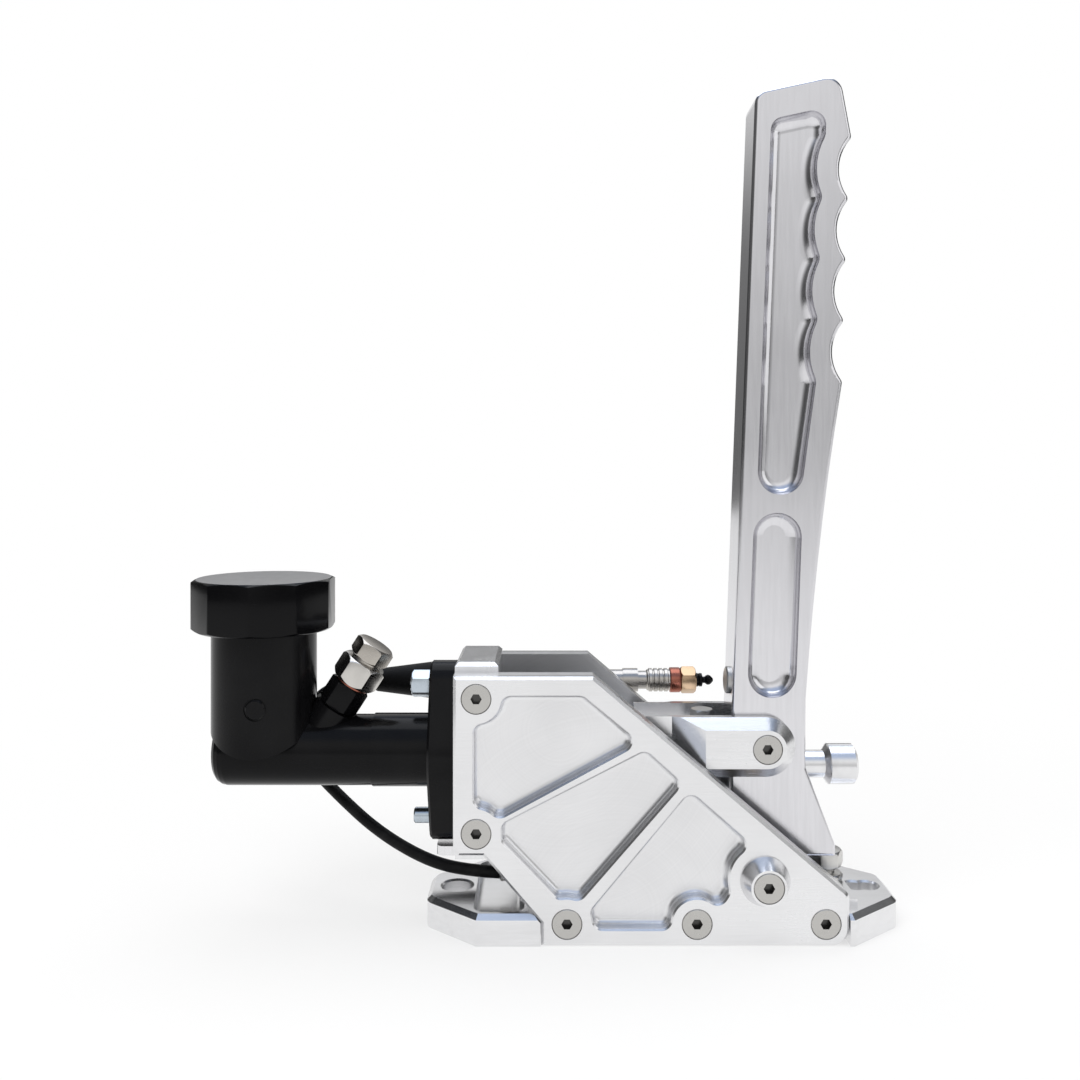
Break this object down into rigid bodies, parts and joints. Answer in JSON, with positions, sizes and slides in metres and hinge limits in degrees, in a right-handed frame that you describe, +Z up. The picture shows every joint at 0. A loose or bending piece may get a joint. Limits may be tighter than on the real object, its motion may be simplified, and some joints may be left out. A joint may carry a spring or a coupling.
{
  "type": "hydraulic_handbrake",
  "caption": "Upright hydraulic handbrake: billet lever with finger grip, fork and pushrod, horizontal master cylinder with a capped reservoir, side plates on a bolt-down base",
  "frame": {"origin": "Centre of the base's flat underside, on the plane of symmetry", "axes": "+X runs from the master cylinder to the lever, +Y across the frame away from the side that faces the camera in the picture, +Z up along the lever"},
  "size_m": [0.3003, 0.0845, 0.3596],
  "materials": {
    "billet": "machined, satin",
    "black_anodised": "gloss black",
    "black_cap": "gloss",
    "steel": "machined",
    "plated": "bright plated",
    "brass": "machined",
    "copper": "copper, dull",
    "rubber": "matt",
    "dark_steel": "blackened"
  },
  "bodies": {
    "frame": {"side_plate_near": "billet", "side_plate_far": "billet", "base_plate": "billet", "front_block": "billet", "frame_screws": "plated", "pivot_shaft": "steel", "pivot_spacers": "steel", "pivot_collars": "billet", "pivot_screws": "plated", "stop_bolt": "steel", "stop_nut": "steel", "cylinder_body": "black_anodised", "reservoir_plug": "black_anodised", "flange_studs": "steel", "flange_nut": "plated", "outlet_washer": "copper", "outlet_adaptor": "black_anodised", "outlet_nut": "plated", "outlet_plug": "plated", "return_spring": "steel", "valve_stem": "steel", "valve_seal": "rubber", "retaining_washer": "steel", "retaining_ring": "dark_steel", "dust_boot": "rubber", "line_boot": "rubber", "line_tube": "plated", "line_union": "plated", "line_ring": "copper", "line_nut": "brass", "line_cap": "black_anodised", "line_clips": "black_anodised", "clip_screws": "dark_steel", "hose": "rubber", "hose_ferrule": "plated", "hose_union": "dark_steel"},
    "lever_arm": {"lever": "billet", "contact_disc": "plated", "pivot_bushes": "brass", "fork_bush": "brass"},
    "pushrod_link": {"fork": "billet", "fork_pin": "steel", "fork_pin_screws": "plated", "fork_lock_bolt": "plated", "pushrod": "steel", "pushrod_locknut": "steel"},
    "piston_unit": {"piston": "billet", "primary_seal": "rubber", "secondary_seal": "rubber"},
    "adjuster_screw": {"adjuster": "billet"},
    "cap_seal": {"diaphragm": "rubber"},
    "cap_ring": {"reservoir_cap": "black_cap"}
  },
  "joints": [
    {"name": "lever_pivot", "type": "hinge", "parent": "frame", "child": "lever_arm", "pos_m": [0.0396, 0, 0.0265], "axis": [0, -1, 0], "range_deg": [0, 18], "stiffness_Nm_per_rad": 3, "springref_deg": -5.73},
    {"name": "fork_pivot", "type": "hinge", "parent": "lever_arm", "child": "pushrod_link", "pos_m": [0.0432, 0, 0.0764], "axis": [0, -1, 0], "range_deg": [-19, 0]},
    {"name": "piston_slide", "type": "slide", "parent": "frame", "child": "piston_unit", "axis": [-1, 0, 0], "range_m": [0, 0.016], "deforming": ["return_spring", "dust_boot"]},
    {"name": "adjuster_turn", "type": "hinge", "parent": "lever_arm", "child": "adjuster_screw", "pos_m": [0.0785, 0, 0.0652], "axis": [1, 0, 0], "continuous": true},
    {"name": "cap_lift", "type": "slide", "parent": "frame", "child": "cap_seal", "axis": [0, 0, 1], "range_m": [0, 0.012]},
    {"name": "cap_turn", "type": "hinge", "parent": "cap_seal", "child": "cap_ring", "pos_m": [-0.1713, 0, 0.135], "axis": [0, 0, 1], "range_deg": [0, 1440]}
  ],
  "couplings": [
    {"joint": "fork_pivot", "follows": "lever_pivot", "ratio": -1.0353},
    {"joint": "piston_slide", "follows": "lever_pivot", "m_per_rad": 0.0498},
    {"joint": "cap_lift", "follows": "cap_turn", "m_per_rad": 0.000477}
  ]
}
